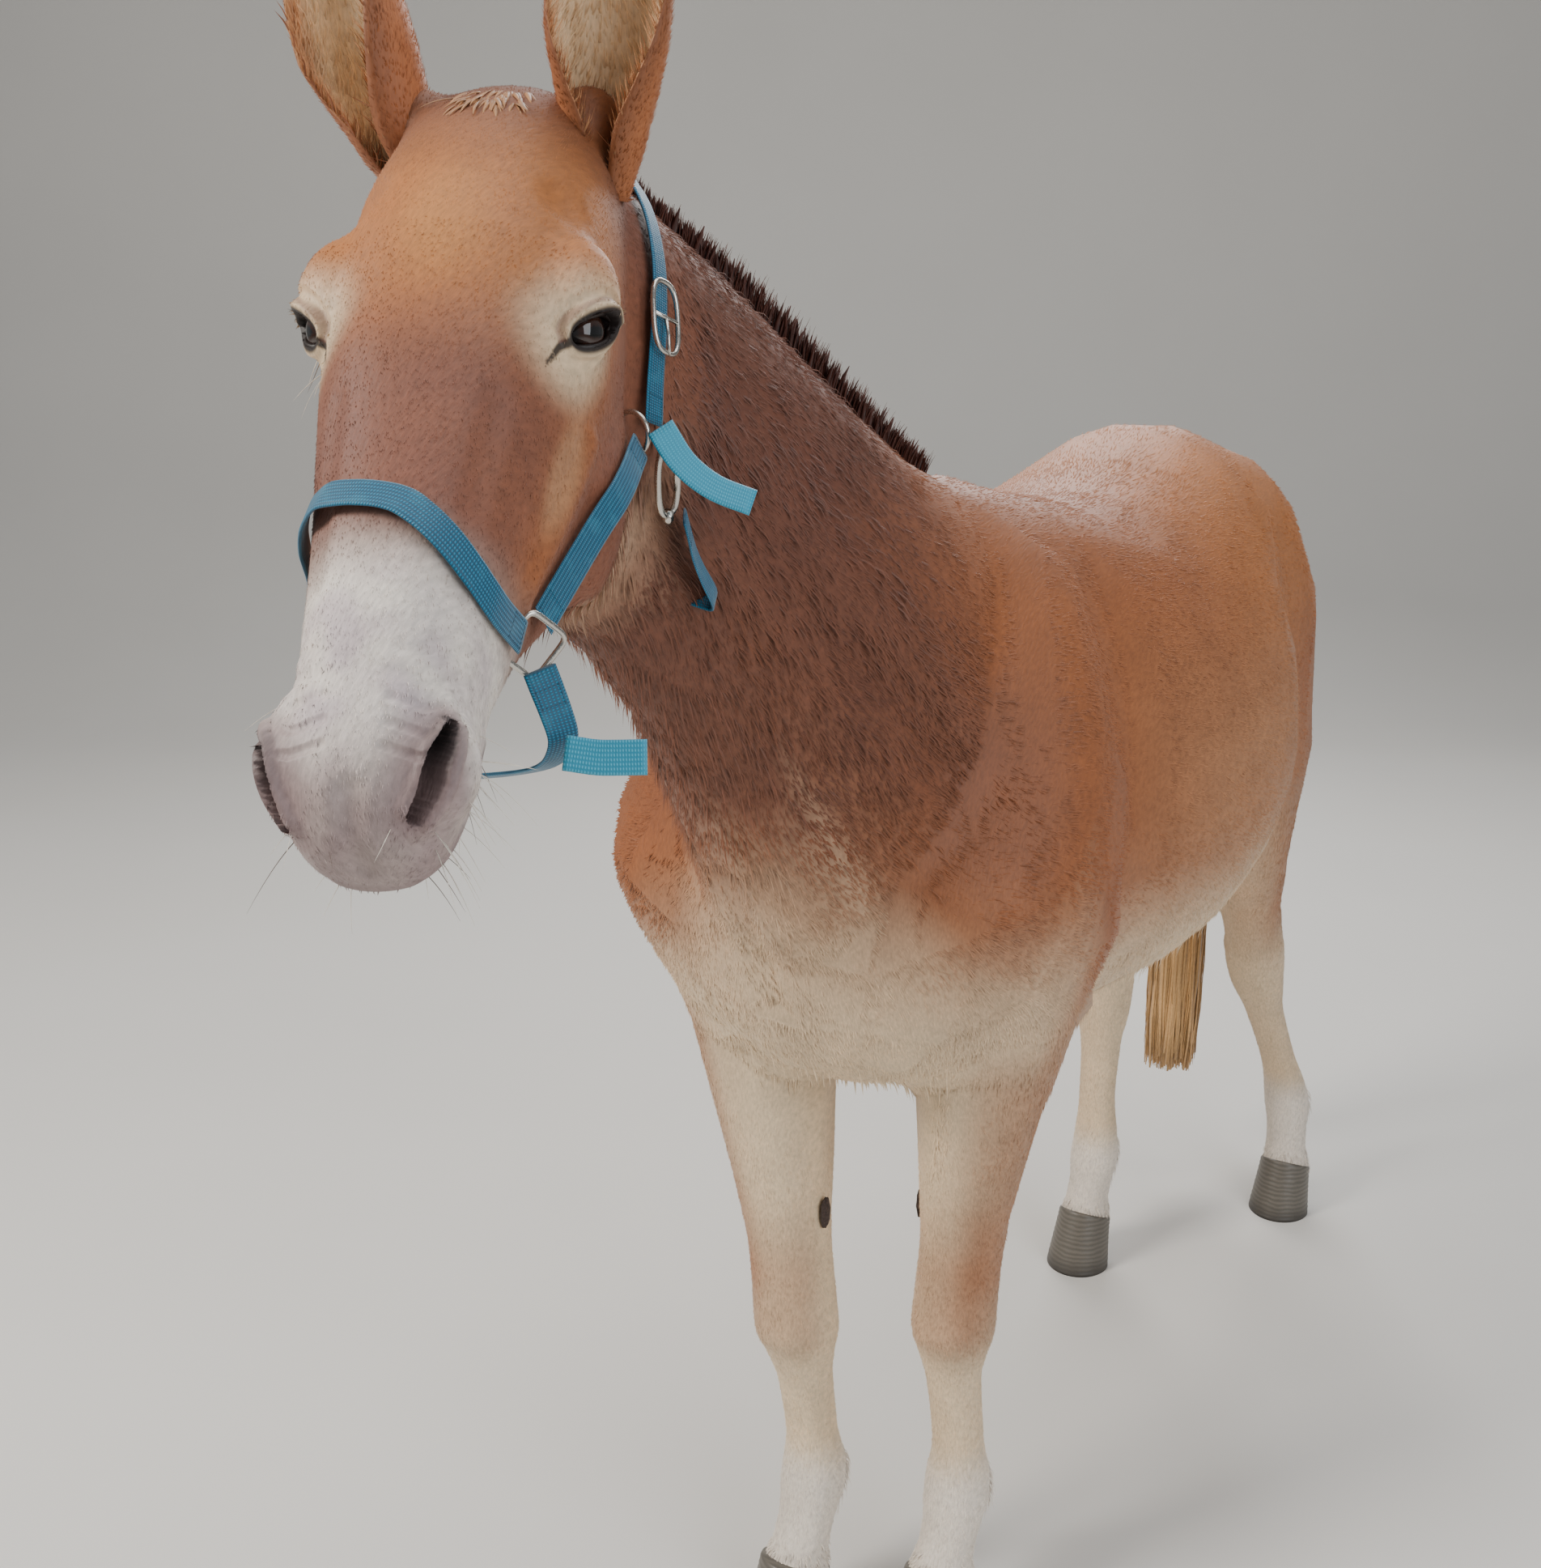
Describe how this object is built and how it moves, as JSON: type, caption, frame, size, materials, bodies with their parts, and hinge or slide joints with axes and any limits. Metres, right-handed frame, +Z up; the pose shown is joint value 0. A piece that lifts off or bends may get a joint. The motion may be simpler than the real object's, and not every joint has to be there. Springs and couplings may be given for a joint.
{
  "type": "standing mule model",
  "caption": "Life-size still model of a standing sorrel mule with long ears, roached mane and switch tail, head turned to its left, wearing a blue nylon halter.",
  "frame": {"origin": "middle of the outline on the ground, under the animal", "axes": "+Z up, +Y from the head towards the tail, +X towards the animal's left side"},
  "size_m": [0.6674, 2.4878, 2.0733],
  "materials": {
    "coat": "short sorrel hair over skin",
    "mane_hair": "short clipped dark hair",
    "pale_hair": "short flaxen hair",
    "tail_hair": "long golden tan hair",
    "horn": "grey ringed hoof horn",
    "eye": "wet dark brown eye",
    "callosity": "dark dry callosity",
    "webbing": "blue woven nylon",
    "pale_webbing": "paler back of the nylon webbing",
    "plated_metal": "plated steel hardware"
  },
  "bodies": {
    "root": {"callosity_foreleg_left": "callosity", "callosity_foreleg_right": "callosity", "ear_left": "coat", "ear_right": "coat", "eye_left": "eye", "eye_right": "eye", "foreleg_lower_left": "coat", "foreleg_lower_right": "coat", "foreleg_upper_left": "coat", "foreleg_upper_right": "coat", "halter_cheek_ring_left": "plated_metal", "halter_cheek_ring_right": "plated_metal", "halter_cheek_strap_left": "webbing", "halter_cheek_strap_right": "webbing", "halter_chin_end": "pale_webbing", "halter_chin_strap": "webbing", "halter_crown_end": "pale_webbing", "halter_crown_strap": "webbing", "halter_noseband": "webbing", "halter_ring_of_buckle": "plated_metal", "halter_ring_of_snap": "plated_metal", "halter_square_ring_left": "plated_metal", "halter_square_ring_right": "plated_metal", "halter_throat_strap": "webbing", "head": "coat", "hind_leg_lower_left": "coat", "hind_leg_lower_right": "coat", "hind_leg_upper_left": "coat", "hind_leg_upper_right": "coat", "hoof_foreleg_left": "horn", "hoof_foreleg_right": "horn", "hoof_hind_leg_left": "horn", "hoof_hind_leg_right": "horn", "mane": "mane_hair", "neck": "coat", "poll_tuft": "pale_hair", "tail": "tail_hair", "trunk": "coat"}
  },
  "joints": []
}
